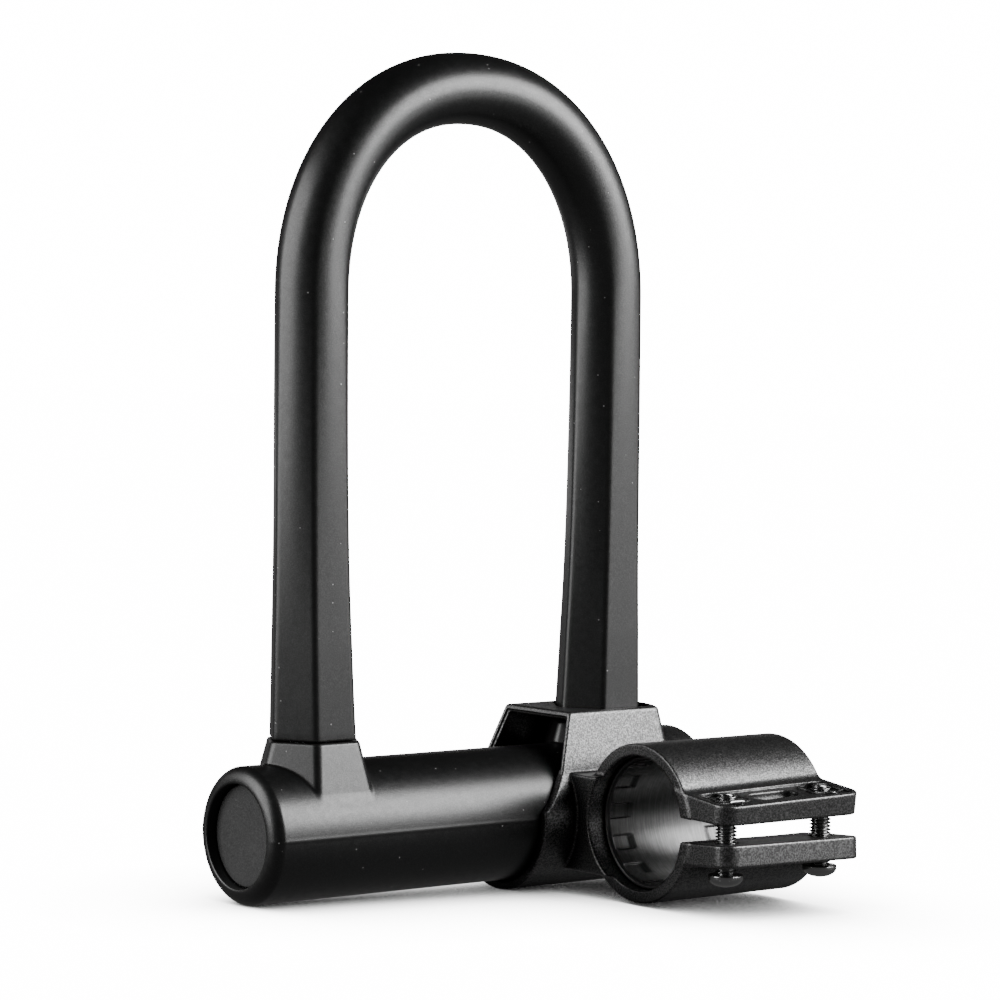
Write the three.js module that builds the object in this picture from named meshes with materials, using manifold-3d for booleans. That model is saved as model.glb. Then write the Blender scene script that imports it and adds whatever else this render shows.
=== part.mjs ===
// A bicycle U-lock with its frame bracket, in millimetres, +Z up.
// The shackle stands on a horizontal crossbar that runs along X; the bracket holds the crossbar's right end
// and clamps a frame tube that runs parallel to the crossbar, on its -Y side.
// The origin is the centre of the crossbar's left end face, on the crossbar's axis.

import * as THREE from 'three';
import { mergeVertices } from 'three/addons/utils/BufferGeometryUtils.js';
import { ParametricGeometry } from 'three/addons/geometries/ParametricGeometry.js';
import { ConvexGeometry } from 'three/addons/geometries/ConvexGeometry.js';
import Module from 'manifold-3d';

const wasm = await Module();
wasm.setup();

// ---------------------------------------------------------------------------------------------
// Driving dimensions. X and Y are measured from the crossbar's middle, Z from the crossbar's axis.
// ---------------------------------------------------------------------------------------------

const GAP = 0.3;              // clearance between pieces that rest on or in each other
const clear = 5;              // how far a cutting tool runs past what it cuts

// Crossbar
const barHalf = 81.2;         // half length over the sleeve
const sleeveR = 20.5;
const sleeveWall = 2.2;
const endFillet = 4.6;        // rounding of the sleeve's two end rims
const endOpeningR = 15.4;     // opening left by the end rims
const endRecess = 3.2;        // depth of the end plates behind the rims
const plateThick = 2.7;
const tubeR = 18;
const tubeBoreR = 13.5;
const coreR = 13.2;           // radius of everything that slides into the tube
const pinR = 1.25;            // roll pins
const pinHoleR = 1.55;

// Collars moulded on the sleeve around the legs
const collarHalf = 54;        // half spacing of the collars
const collarTop = 27;
const collarTopR = 15.1;      // circumradius of the hexagonal rim
const collarFlare = 0.29;     // growth of that circumradius for each millimetre down
const collarFoot = 8;         // height at which the collar is lost in the sleeve

// Shackle
const legHalf = 54.6;         // half spacing of the steel legs
const steelR = 7;
const legEnd = 3.5;
const steelBendZ = 166;
const coverBoreR = 7.7;
const coverR = 10.77;         // radius of the cover on the bend
const coverFoot = collarTop + GAP;
const coverBendZ = 158;       // height at which the bend starts
const coverBendHalf = 56;     // half width of the bend's centre line
const coverBendRise = 62.6;
const coverBendPower = 2.12;  // superellipse power of the bend's centre line
const coverBow = 1.04e-4;     // the legs lean in by this times the squared distance below the bend
const hexApothem = 10.95;     // the cover's hexagonal section, from its axis to a face
const hexFlare = 2.64e-4;     // the apothem grows by this times the squared distance below hexFlareZ
const hexFlareZ = 100;
const hexCornerR = 1.6;
const hexFullZ = 60;          // fully hexagonal below this height, round above hexStartZ
const hexStartZ = 178;
const notchLow = 5;
const notchHigh = 11.4;
const notchDepth = 5.2;

// Locking train on the crossbar's axis
const spindleR = 2.2;
const spindleBoreR = 2.5;
const camR = 4.6;
const camHalf = 13;
const camFollowerX = 4;       // distance of each bolt's follower from the middle, bolts drawn back
const boltTravel = 5.5;       // for a quarter turn of the plug
const boltLow = 5.4;
const boltHigh = 10.8;
const boltWidth = 8;
const boltInner = 1;
const boltTip = 46.9;
const followerR = 1.2;
const followerEnd = 2.6;
const grooveR = 1.85;
const grooveFloor = 2.2;
const bearingInner = 16;
const bearingThick = 4;
const socketInner = 42;
const socketOuter = 63.5;
const socketBoreR = 7.3;
const housingInner = 63.8;
const housingOuter = 75;
const plugR = 6;
const plugBoreR = 5;
const plugFront = 78.3;
const plugBack = 65.6;
const discR = 4.8;
const discThick = 1.45;
const discPitch = 1.7;
const discCount = 5;
const firstDiscX = 67.6;
const keywayWidth = 2.2;
const keywayHeight = 6;
const sidebarWidth = 1.6;

// Dust cover over the keyway
const flapPivotZ = 9;
const flapR = 5.2;
const flapThick = 1.2;
const flapX = 78.7;
const rivetR = 1;

// Bracket: saddle round the crossbar, hood over the right collar
const saddleBoreR = 20.9;
const saddleR = 23.3;
const saddleLeft = 15.6;
const saddleRight = 84.5;
const bracketWall = 2.4;
const hoodTop = 31.5;
const hoodHalf = 15.05;       // half width of the hood's top
const hoodBackExtra = 1.6;    // how much farther the back wall stands out than the front one
const hoodSlope = 0.24;       // growth of the half width for each millimetre down
const hoodMouthX = 31.3;      // the mouth's edge at the top, leaning out below
const hoodMouthLean = 0.34;
const hoodCorner = 66.7;      // where the side walls turn into the rounded end wall
const hoodCornerLean = 0.1;
const hoodEnd = 71.5;
const hoodEndLean = 0.3;
const hoodFoot = 8;
const creaseZ = 13.4;         // where the hood meets the saddle
const legOpeningX = 54.2;
const legOpeningR = 14.6;     // circumradius of the opening round the leg

// Bracket: clamp ring, ears, liner and screws
const ringY = -48.5;
const ringZ = 1.1;
const ringR = 23.93;
const ringBoreR = 20.2;
const ringLeft = 30.5;
const ringRight = 85.5;
const ringChamfer = 0.7;
const webLeft = 28;
const webRight = 82;
const webLow = -9;
const earFront = -88.4;
const earRoot = -66;
const earThick = 6.2;
const earCornerR = 5.5;
const upperEarZ = 12.9;       // top of the upper ear above the ring's front, falling towards the front
const upperEarFall = 0.125;
const lowerEarZ = -2.5;       // top of the lower ear there, rising towards the front
const lowerEarRise = 0.05;
const earDatumY = -70;
const linerR = 19.9;
const linerBoreR = 18.6;
const linerInset = 3.8;
const linerSlots = 12;         // shallow grip slots at each end of the liner's bore
const linerSlotLong = 9.5;
const linerSlotWide = 4.8;
const linerSlotDeep = 0.45;
const screwLeftX = 39.6;
const screwRightX = 77.2;
const screwY = -78.3;
const screwR = 2.9;
const screwHoleR = 3.3;
const screwTop = 12.6;
const headTop = -11.2;
const headR = 5.15;
const headHeight = 3.8;
const nutAcross = 10;
const nutHeight = 4.2;
const nutBoreR = 3.05;
const nutFloor = 6.9;
const nutPocketR = 6.3;
const lipWide = 1.7;
const lipDeep = 0.9;

// ---------------------------------------------------------------------------------------------
// Solids: closed three.js meshes turned into manifold solids, and back
// ---------------------------------------------------------------------------------------------

function signedVolume(position, index) {
  const a = new THREE.Vector3();
  const b = new THREE.Vector3();
  const c = new THREE.Vector3();
  let volume = 0;
  for (let i = 0; i < index.length; i += 3) {
    a.fromBufferAttribute(position, index[i]);
    b.fromBufferAttribute(position, index[i + 1]);
    c.fromBufferAttribute(position, index[i + 2]);
    volume += a.dot(b.cross(c)) / 6;
  }
  return volume;
}

function solid(geometry) {
  const bare = geometry.clone();
  for (const name of Object.keys(bare.attributes)) {
    if (name !== 'position') bare.deleteAttribute(name);
  }
  const merged = mergeVertices(bare, 1e-4);
  const source = merged.index.array;
  const triangles = [];
  for (let i = 0; i < source.length; i += 3) {
    const [a, b, c] = [source[i], source[i + 1], source[i + 2]];
    if (a !== b && b !== c && c !== a) triangles.push(a, b, c);
  }
  if (signedVolume(merged.attributes.position, triangles) < 0) triangles.reverse();
  return new wasm.Manifold(new wasm.Mesh({
    numProp: 3,
    vertProperties: new Float32Array(merged.attributes.position.array),
    triVerts: new Uint32Array(triangles),
  }));
}

function join(...solids) {
  return solids.reduce((whole, piece) => whole.add(piece));
}

function cut(whole, ...tools) {
  return tools.reduce((rest, tool) => rest.subtract(tool), whole);
}

function toGeometry(manifold) {
  const mesh = manifold.getMesh();
  const geometry = new THREE.BufferGeometry();
  geometry.setAttribute('position', new THREE.BufferAttribute(mesh.vertProperties, 3));
  geometry.setIndex(new THREE.BufferAttribute(mesh.triVerts, 1));
  geometry.computeVertexNormals();
  return geometry;
}

// A cylinder along an axis, from one end to the other, with its centre line at (p, q): for X that is
// (y, z), for Y (x, z) and for Z (x, y).
function rod(axis, radius, from, to, p = 0, q = 0, segments = 24) {
  const geometry = new THREE.CylinderGeometry(radius, radius, to - from, segments);
  const middle = (from + to) / 2;
  if (axis === 'x') geometry.rotateZ(-Math.PI / 2).translate(middle, p, q);
  if (axis === 'y') geometry.translate(p, middle, q);
  if (axis === 'z') geometry.rotateX(Math.PI / 2).translate(p, q, middle);
  return solid(geometry);
}

function block(x0, x1, y0, y1, z0, z1) {
  const geometry = new THREE.BoxGeometry(x1 - x0, y1 - y0, z1 - z0);
  return solid(geometry.translate((x0 + x1) / 2, (y0 + y1) / 2, (z0 + z1) / 2));
}

// A solid of revolution about the X axis. The profile is a list of [x, radius] pairs.
function turned(profile, segments = 40) {
  const points = profile.map(([x, r]) => new THREE.Vector2(r, x));
  return solid(new THREE.LatheGeometry(points, segments).rotateZ(-Math.PI / 2));
}

// A closed ring profile for turned(), between two radii.
function ringProfile(x0, x1, inner, outer) {
  return [[x0, inner], [x0, outer], [x1, outer], [x1, inner], [x0, inner]];
}

function quarter(xCentre, rCentre, radius, fromAngle, steps = 4) {
  const points = [];
  for (let i = 0; i <= steps; i++) {
    const angle = fromAngle - (Math.PI / 2) * (i / steps);
    points.push([xCentre + radius * Math.cos(angle), rCentre + radius * Math.sin(angle)]);
  }
  return points;
}

function prism(shape, depth) {
  return new THREE.ExtrudeGeometry(shape, { depth, bevelEnabled: false, curveSegments: 6 });
}

function polygon(points) {
  return new THREE.Shape(points.map(([x, y]) => new THREE.Vector2(x, y)));
}

// An outline in Y and Z, extruded along X.
function alongX(points, x0, x1) {
  const geometry = prism(polygon(points), x1 - x0);
  geometry.rotateX(Math.PI / 2).rotateZ(Math.PI / 2).translate(x0, 0, 0);
  return solid(geometry);
}

// An outline in X and Z, extruded along Y.
function alongY(points, y0, y1) {
  const geometry = prism(polygon(points), y1 - y0);
  geometry.rotateX(Math.PI / 2).translate(0, y1, 0);
  return solid(geometry);
}

// ---------------------------------------------------------------------------------------------
// Finishes
// ---------------------------------------------------------------------------------------------

function finish(color, roughness, metalness = 0) {
  return new THREE.MeshStandardMaterial({ color, roughness, metalness });
}

const finishes = {
  silicone: finish(0x1a1a1b, 0.55),
  nylon: finish(0x2a2a2b, 0.7),
  discPlastic: finish(0x2c2c2d, 0.8),
  linerPlastic: finish(0x222223, 0.35),
  hardenedSteel: finish(0x8f9296, 0.35, 1),
  blackSteel: finish(0x1c1c1e, 0.35, 1),
  zinc: finish(0xa5a8ab, 0.45, 1),
  brass: finish(0xb99a55, 0.35, 1),
};

function piece(name, manifold, material, x = 0, y = 0, z = 0) {
  const mesh = new THREE.Mesh(toGeometry(manifold), material);
  mesh.name = name;
  mesh.position.set(x, y, z);
  return mesh;
}

// ---------------------------------------------------------------------------------------------
// Crossbar
// ---------------------------------------------------------------------------------------------

const tubeHalf = barHalf - endRecess - plateThick - GAP;
const plateX = barHalf - endRecess;
const socketPinX = 50;
const housingPinX = 70;
const endPlugPinX = -71;
const pinXs = [-socketPinX, socketPinX, housingPinX, endPlugPinX];

function bothSides(make) {
  return [make(-1), make(1)];
}

function crossbarTube() {
  const tube = turned(ringProfile(-tubeHalf, tubeHalf, tubeBoreR, tubeR));
  const legHoles = bothSides((side) => rod('z', socketBoreR, 0, sleeveR, side * legHalf, 0));
  const pinHoles = pinXs.map((x) => rod('z', pinHoleR, -sleeveR, 0, x, 0, 10));
  return cut(tube, ...legHoles, ...pinHoles);
}

// An upright hexagonal bar with corners on its X axis, tapering between two circumradii.
function hexagonal(topR, footR, z0, z1, x) {
  const geometry = new THREE.CylinderGeometry(topR, footR, z1 - z0, 6);
  geometry.rotateX(Math.PI / 2).rotateZ(Math.PI / 6);
  return solid(geometry.translate(x, 0, (z0 + z1) / 2));
}

function collar(side) {
  const footR = collarTopR + collarFlare * (collarTop - collarFoot);
  return hexagonal(collarTopR, footR, collarFoot, collarTop, side * collarHalf);
}

function crossbarSleeve() {
  const rimX = barHalf - endFillet;
  const rimR = sleeveR - endFillet;
  const shell = turned([
    [-barHalf, endOpeningR],
    ...quarter(-rimX, rimR, endFillet, Math.PI),
    ...quarter(rimX, rimR, endFillet, Math.PI / 2),
    [barHalf, endOpeningR],
    [-barHalf, endOpeningR],
  ], 48);
  const room = rod('x', sleeveR - sleeveWall, -tubeHalf - GAP, tubeHalf + GAP, 0, 0, 40);
  const legHoles = bothSides((side) => rod('z', steelR + 0.6, 0, collarTop + 1, side * legHalf, 0));
  return cut(join(shell, ...bothSides(collar)), room, ...legHoles);
}

function leftEndPlug() {
  const spigotEnd = -67;
  return cut(turned([
    [-plateX, 0],
    [-plateX, endOpeningR - GAP],
    [-plateX + plateThick, endOpeningR - GAP],
    [-plateX + plateThick, coreR],
    [spigotEnd, coreR],
    [spigotEnd, 0],
  ]), rod('z', pinHoleR, -sleeveR, -coreR / 2, endPlugPinX, 0, 10));
}

function keywayBezel() {
  const ring = turned(ringProfile(plateX - plateThick, plateX, plugR + GAP, endOpeningR - GAP));
  return cut(ring, rod('x', rivetR + 0.1, plateX - plateThick - 1, plateX + 1, 0, flapPivotZ, 12));
}

function legSocket(side) {
  const body = rod('x', coreR, socketInner, socketOuter, 0, 0, 40);
  const tools = [
    rod('z', socketBoreR, legEnd - GAP, sleeveR, legHalf, 0),
    block(socketInner - 1, legHalf, -boltWidth / 2 - GAP, boltWidth / 2 + GAP, boltLow - GAP, boltHigh + GAP),
    rod('z', pinHoleR, -sleeveR, -coreR / 2, socketPinX, 0, 10),
  ];
  if (side > 0) tools.push(rod('x', spindleBoreR, socketInner - 1, socketOuter + 1));
  const socket = cut(body, ...tools);
  return side > 0 ? socket : socket.mirror([1, 0, 0]);
}

function camBearing(side) {
  const inner = bearingInner;
  const outer = bearingInner + bearingThick;
  const plate = rod('x', coreR, inner, outer, 0, 0, 40);
  const bolt = block(
    inner - 1, outer + 1, -boltWidth / 2 - GAP, boltWidth / 2 + GAP, boltLow - GAP, boltHigh + GAP);
  const bearing = cut(plate, rod('x', spindleBoreR, inner - 1, outer + 1), bolt);
  return side > 0 ? bearing : bearing.mirror([1, 0, 0]);
}

function cylinderHousing() {
  const backWall = 1.4;
  const housing = turned([
    [housingInner, spindleBoreR],
    [housingInner, coreR],
    [housingOuter, coreR],
    [housingOuter, plugR + 0.2],
    [housingInner + backWall, plugR + 0.2],
    [housingInner + backWall, spindleBoreR],
    [housingInner, spindleBoreR],
  ]);
  const sidebarTrack = block(
    firstDiscX, housingOuter + 1, -sidebarWidth / 2 - GAP, sidebarWidth / 2 + GAP, 0, plugR + 1.4);
  return cut(housing, sidebarTrack, rod('z', pinHoleR, -sleeveR, -coreR + 4, housingPinX, 0, 10));
}

function rollPin() {
  return rod('z', pinR, -tubeR + GAP, -coreR + 3.5, 0, 0, 10);
}

function flapRivet() {
  const headBack = flapX + flapThick + 0.1;
  return turned([
    [plateX - plateThick, 0],
    [plateX - plateThick, rivetR],
    [headBack, rivetR],
    [headBack, 2 * rivetR],
    [headBack + 0.6, 1.4 * rivetR],
    [headBack + 0.6, 0],
  ], 16);
}

// ---------------------------------------------------------------------------------------------
// Shackle
// ---------------------------------------------------------------------------------------------

// The steel's centre line: up the left leg, round a half circle and down the right leg.
class SteelPath extends THREE.Curve {
  constructor(foot) {
    super();
    this.foot = foot;
  }

  getPoint(t, target = new THREE.Vector3()) {
    const leg = steelBendZ - this.foot;
    const bend = Math.PI * legHalf;
    const along = t * (2 * leg + bend);
    if (along < leg) return target.set(-legHalf, 0, this.foot + along);
    if (along > leg + bend) return target.set(legHalf, 0, steelBendZ - (along - leg - bend));
    const angle = Math.PI - (along - leg) / legHalf;
    return target.set(legHalf * Math.cos(angle), 0, steelBendZ + legHalf * Math.sin(angle));
  }
}

function shackleBar() {
  const section = new THREE.Shape();
  section.absarc(0, 0, steelR, 0, 2 * Math.PI);
  const bar = solid(new THREE.ExtrudeGeometry(section, {
    steps: 44, extrudePath: new SteelPath(legEnd), curveSegments: 7, bevelEnabled: false,
  }));
  const notchFloor = legHalf - steelR + notchDepth;
  const notches = [
    block(0, notchFloor, -steelR - 1, steelR + 1, notchLow, notchHigh),
    block(-notchFloor, 0, -steelR - 1, steelR + 1, notchLow, notchHigh),
  ];
  return cut(bar, ...notches);
}

// Radius of a hexagon with a softened corner at angle 0, as a function of the angle.
function hexagonRadius(apothem, angle) {
  const sector = Math.PI / 3;
  const within = ((angle % sector) + sector) % sector;
  const corner = (apothem - hexCornerR) / Math.cos(sector / 2) + hexCornerR;
  return Math.min(apothem / Math.cos(within - sector / 2), corner);
}

function coverRadius(z, angle) {
  const share = THREE.MathUtils.smoothstep(hexStartZ - z, 0, hexStartZ - hexFullZ);
  const apothem = hexApothem + hexFlare * Math.max(hexFlareZ - z, 0) ** 2;
  return THREE.MathUtils.lerp(coverR, hexagonRadius(apothem, angle), share);
}

const legShare = 0.22;        // share of the rows on each leg

// A point on the cover's centre line and the outward direction there, for t from 0 (left foot) to 1.
function coverAxis(t) {
  const side = t < 0.5 ? -1 : 1;
  const along = Math.min(t, 1 - t);
  if (along < legShare) {
    const z = THREE.MathUtils.lerp(coverFoot, coverBendZ, along / legShare);
    const x = coverBendHalf - coverBow * (coverBendZ - z) ** 2;
    return { x: side * x, z, nx: side, nz: 0 };
  }
  const angle = Math.PI * (1 - (t - legShare) / (1 - 2 * legShare));
  const c = Math.cos(angle);
  const s = Math.max(Math.sin(angle), 0);
  const power = 2 / coverBendPower;
  const x = coverBendHalf * Math.sign(c) * Math.abs(c) ** power;
  const rise = coverBendRise * s ** power;
  const slope = new THREE.Vector2(
    Math.sign(c) * Math.abs(x / coverBendHalf) ** (coverBendPower - 1) / coverBendHalf,
    (rise / coverBendRise) ** (coverBendPower - 1) / coverBendRise).normalize();
  return { x, z: coverBendZ + rise, nx: slope.x, nz: slope.y };
}

function boreAxis(t) {
  const side = t < 0.5 ? -1 : 1;
  const along = Math.min(t, 1 - t);
  if (along < legShare) {
    const z = THREE.MathUtils.lerp(coverFoot, steelBendZ, along / legShare);
    return { x: side * legHalf, z, nx: side, nz: 0 };
  }
  const angle = Math.PI * (1 - (t - legShare) / (1 - 2 * legShare));
  const [c, s] = [Math.cos(angle), Math.sin(angle)];
  return { x: legHalf * c, z: steelBendZ + legHalf * s, nx: c, nz: s };
}

// The cover is one closed skin: up the outside from foot to foot, and back along the bore.
function shackleCover() {
  const rows = 56;
  const columns = 18;
  const half = rows / 2;
  const skin = (u, v, target) => {
    const row = Math.round(u * rows) % rows;
    const angle = 2 * Math.PI * v;
    const outside = row < half;
    const t = outside ? row / (half - 1) : (rows - 1 - row) / (half - 1);
    const axis = outside ? coverAxis(t) : boreAxis(t);
    const radius = outside ? coverRadius(axis.z, angle) : coverBoreR;
    const across = radius * Math.cos(angle);
    target.set(axis.x + across * axis.nx, radius * Math.sin(angle), axis.z + across * axis.nz);
  };
  return solid(new ParametricGeometry(skin, rows, columns));
}

// ---------------------------------------------------------------------------------------------
// Locking train: plug, discs, sidebar, spindle with its cam, and the two bolts
// ---------------------------------------------------------------------------------------------

const spindleLeft = -bearingInner - bearingThick - 1;
const headThick = 1.6;

function keyway(x0, x1) {
  return block(x0, x1, -keywayWidth / 2, keywayWidth / 2, -keywayHeight / 2, keywayHeight / 2);
}

function cylinderPlug() {
  const faceBack = 76;
  const shell = turned([
    [plugBack, plugBoreR],
    [plugBack, plugR],
    [plugFront, plugR],
    [plugFront, 0],
    [faceBack, 0],
    [faceBack, plugBoreR],
    [plugBack, plugBoreR],
  ], 32);
  const sidebarSlot = block(
    firstDiscX - GAP, faceBack, -sidebarWidth / 2 - 0.15, sidebarWidth / 2 + 0.15, 0, plugR + 1);
  const driveSlot = block(plugBack - 1, plugBack + headThick + GAP, -1.5, 1.5, -plugR - 1, 0);
  return cut(shell, keyway(faceBack - 1, plugFront + 1), sidebarSlot, driveSlot);
}

function detainerDisc() {
  const disc = rod('x', discR, 0, discThick, 0, 0, 24);
  const gate = block(-1, discThick + 1, -sidebarWidth / 2 - GAP, sidebarWidth / 2 + GAP, discR - 1, discR + 1);
  return cut(disc, keyway(-1, discThick + 1), gate);
}

function sidebar() {
  const length = discCount * discPitch - GAP;
  return block(0, length, -sidebarWidth / 2, sidebarWidth / 2, discR - 0.7, plugR - 0.1);
}

// A helical groove that moves a follower away from the middle as the spindle turns.
function camGroove(side) {
  const steps = 9;
  const overrun = 0.1;
  const cutters = [];
  for (let i = 0; i <= steps; i++) {
    const turn = THREE.MathUtils.lerp(-overrun, 1 + overrun, i / steps);
    const angle = turn * Math.PI / 2;
    const geometry = new THREE.CylinderGeometry(grooveR, grooveR, camR, 8);
    geometry.rotateX(Math.PI / 2).translate(0, 0, grooveFloor + camR / 2);
    geometry.rotateX(-angle).translate(side * (camFollowerX + boltTravel * turn), 0, 0);
    cutters.push(solid(geometry));
  }
  return join(...cutters);
}

function driveSpindle() {
  const head = plugBack + 0.1;
  const shaft = turned([
    [spindleLeft, 0],
    [spindleLeft, spindleR],
    [-camHalf, spindleR],
    [-camHalf, camR],
    [camHalf, camR],
    [camHalf, spindleR],
    [head, spindleR],
    [head, discR],
    [head + headThick, discR],
    [head + headThick, 0],
  ], 32);
  const lug = block(head, head + headThick, -1.2, 1.2, -plugR + 0.3, 0);
  return cut(join(shaft, lug), camGroove(-1), camGroove(1));
}

function lockBolt(side) {
  const bar = block(boltInner, boltTip, -boltWidth / 2, boltWidth / 2, boltLow, boltHigh);
  const follower = rod('z', followerR, followerEnd, boltLow + 1, camFollowerX, 0, 10);
  const bolt = join(bar, follower);
  return side > 0 ? bolt : bolt.mirror([1, 0, 0]);
}

function dustCover() {
  const outline = new THREE.Shape();
  const pivotR = 2.6;
  outline.absarc(0, 0, flapR, 0, Math.PI, true);
  outline.absarc(0, flapPivotZ, pivotR, Math.PI, 0, true);
  const geometry = prism(outline, flapThick).rotateX(Math.PI / 2).rotateZ(Math.PI / 2);
  const flap = solid(geometry.translate(flapX, 0, 0));
  return cut(flap, rod('x', rivetR + 0.25, flapX - 1, flapX + flapThick + 1, 0, flapPivotZ, 14));
}

// ---------------------------------------------------------------------------------------------
// Bracket
// ---------------------------------------------------------------------------------------------

// Corner points of the hood at one height, drawn in by inset; the end wall is an arc through the
// two corners and the end.
function hoodOutline(z, inset, mouthShift) {
  const drop = hoodTop - z;
  const front = -(hoodHalf + hoodSlope * drop - inset);
  const back = hoodBackExtra - front;
  const corner = hoodCorner + hoodCornerLean * drop - inset / 2;
  const end = hoodEnd + hoodEndLean * drop - inset;
  const mouth = hoodMouthX - hoodMouthLean * drop - mouthShift;
  const bulge = end - corner;
  const points = [new THREE.Vector3(mouth, front, z), new THREE.Vector3(mouth, back, z)];
  const steps = 8;
  for (let i = 0; i <= steps; i++) {
    const share = i / steps;
    const y = THREE.MathUtils.lerp(front, back, share);
    points.push(new THREE.Vector3(corner + bulge * 4 * share * (1 - share), y, z));
  }
  return points;
}

function hood(inset, mouthShift, top, foot) {
  return solid(new ConvexGeometry([
    ...hoodOutline(top, inset, mouthShift),
    ...hoodOutline(foot, inset, mouthShift),
  ]));
}

// Everything to the left of the saddle's slanted mouth.
function mouthCutter() {
  const shoulderX = 18.6;
  const shoulderZ = 5.1;
  const lowZ = 2.1;
  const far = saddleLeft - saddleR;
  const above = hoodTop + clear;
  return alongY([
    [far, lowZ],
    [saddleLeft, lowZ],
    [shoulderX, shoulderZ],
    [hoodMouthX - hoodMouthLean * (hoodTop - creaseZ), creaseZ],
    [hoodMouthX + hoodMouthLean * (above - hoodTop), above],
    [far, above],
  ], -saddleR - clear, saddleR + clear);
}

// The top is open from the leg's middle to the end wall, and hugs the leg on the other side.
function legOpening() {
  const above = hoodTop + 1;
  const below = hoodTop - bracketWall - 1;
  const hugging = hexagonal(legOpeningR, legOpeningR, below, above, legOpeningX);
  const outline = hoodOutline(hoodTop, bracketWall, 0).map((p) => p.setX(Math.max(p.x, legOpeningX)));
  const open = new ConvexGeometry([
    ...outline.map((p) => p.clone().setZ(below)),
    ...outline.map((p) => p.clone().setZ(above)),
  ]);
  return join(hugging, solid(open));
}

function ear(thickness, cornerR) {
  const outline = new THREE.Shape();
  outline.moveTo(ringLeft, earRoot);
  outline.lineTo(ringLeft, earFront + cornerR);
  outline.absarc(ringLeft + cornerR, earFront + cornerR, cornerR, Math.PI, 1.5 * Math.PI);
  outline.lineTo(ringRight - cornerR, earFront);
  outline.absarc(ringRight - cornerR, earFront + cornerR, cornerR, 1.5 * Math.PI, 2 * Math.PI);
  outline.lineTo(ringRight, earRoot);
  outline.closePath();
  return prism(outline, thickness).translate(0, -earDatumY, -thickness);
}

// Tilts a plate about the ears' datum line and lifts it to its height there.
function tilted(geometry, slope, height) {
  return solid(geometry.rotateX(Math.atan(slope)).translate(0, earDatumY, height));
}

function upperEar() {
  return tilted(ear(earThick, earCornerR), upperEarFall, upperEarZ);
}

function upperEarPockets() {
  const recess = new THREE.Shape();
  const [left, right] = [ringLeft + lipWide, ringRight - lipWide];
  const [front, back] = [earFront + lipWide - earDatumY, -2.5];
  const r = earCornerR - lipWide;
  recess.moveTo(left, back);
  recess.lineTo(left, front + r);
  recess.absarc(left + r, front + r, r, Math.PI, 1.5 * Math.PI);
  recess.lineTo(right - r, front);
  recess.absarc(right - r, front + r, r, 1.5 * Math.PI, 2 * Math.PI);
  recess.lineTo(right, back);
  recess.closePath();
  const pan = tilted(prism(recess, lipDeep + 1).translate(0, 0, -lipDeep), upperEarFall, upperEarZ);
  const boat = new THREE.SphereGeometry(1, 24, 12);
  const boatLength = 8.8;
  const boatWidth = 3.6;
  const boatDepth = 4.2;
  boat.scale(boatLength, boatWidth, boatDepth);
  boat.translate((screwLeftX + screwRightX) / 2, screwY + 0.3 - earDatumY, -lipDeep);
  const pockets = [screwLeftX, screwRightX].map((x) => (
    rod('z', nutPocketR, nutFloor - GAP, upperEarZ + clear, x, screwY, 6)));
  return join(pan, tilted(boat, upperEarFall, upperEarZ), ...pockets);
}

function lowerEar() {
  return tilted(ear(earThick, earCornerR), -lowerEarRise, lowerEarZ);
}

// The wedge of air between the ears, from the ring's bore to past the front.
function earGap() {
  const reach = earFront - clear;
  const root = ringY - ringBoreR / 2;
  const under = (y) => upperEarZ + upperEarFall * (y - earDatumY) - earThick;
  const over = (y) => lowerEarZ - lowerEarRise * (y - earDatumY);
  return alongX([[root, over(root)], [reach, over(reach)], [reach, under(reach)], [root, under(root)]],
    ringLeft - 2, ringRight + 2);
}

function clampRing() {
  const c = ringChamfer;
  return solid(toGeometry(turned([
    [ringLeft, ringBoreR],
    [ringLeft, ringR - c],
    [ringLeft + c, ringR],
    [ringRight - c, ringR],
    [ringRight, ringR - c],
    [ringRight, ringBoreR],
    [ringLeft, ringBoreR],
  ], 48)).translate(0, ringY, ringZ));
}

function bracketBody() {
  const webRoot = -4;
  const saddle = join(
    rod('x', saddleR, saddleLeft, saddleRight, 0, 0, 48),
    hood(0, 0, hoodTop, hoodFoot),
    alongX([[webRoot, webLow], [webRoot, creaseZ], [ringY, creaseZ], [ringY, webLow]], webLeft, webRight));
  const shell = cut(
    saddle,
    mouthCutter(),
    rod('x', ringBoreR + 1, webLeft - clear, ringRight + clear, ringY, ringZ, 40));
  const withRing = join(shell, clampRing(), upperEar(), lowerEar());
  const holes = [screwLeftX, screwRightX].map((x) => (
    rod('z', screwHoleR, headTop, upperEarZ + clear, x, screwY, 20)));
  return cut(
    withRing,
    rod('x', ringBoreR, ringLeft - 1, ringRight + 1, ringY, ringZ, 48),
    rod('x', saddleBoreR, saddleLeft - 1, saddleRight + 1, 0, 0, 48),
    hood(bracketWall, 2 * clear, hoodTop - bracketWall, 0),
    legOpening(),
    earGap(),
    upperEarPockets(),
    ...holes);
}

function clampLiner() {
  const [left, right] = [ringLeft + linerInset, ringRight - linerInset];
  const tube = turned(ringProfile(left, right, linerBoreR, linerR), 48);
  const slotTurn = 4;          // degrees from the top to the first slot
  const slots = [];
  for (let i = 0; i < linerSlots; i++) {
    const angle = slotTurn + 360 * i / linerSlots;
    for (const [start, end] of [[left - 1, left + linerSlotLong], [right - linerSlotLong, right + 1]]) {
      const slot = block(start, end, -linerSlotWide / 2, linerSlotWide / 2, 0, linerBoreR + linerSlotDeep);
      slots.push(slot.rotate([angle, 0, 0]));
    }
  }
  const gapHigh = 5.4;
  const gapLow = -4.2;
  const gap = block(left - 1, right + 1, -linerR - clear, 0, gapLow, gapHigh);
  return cut(tube, gap, ...slots);
}

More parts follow.
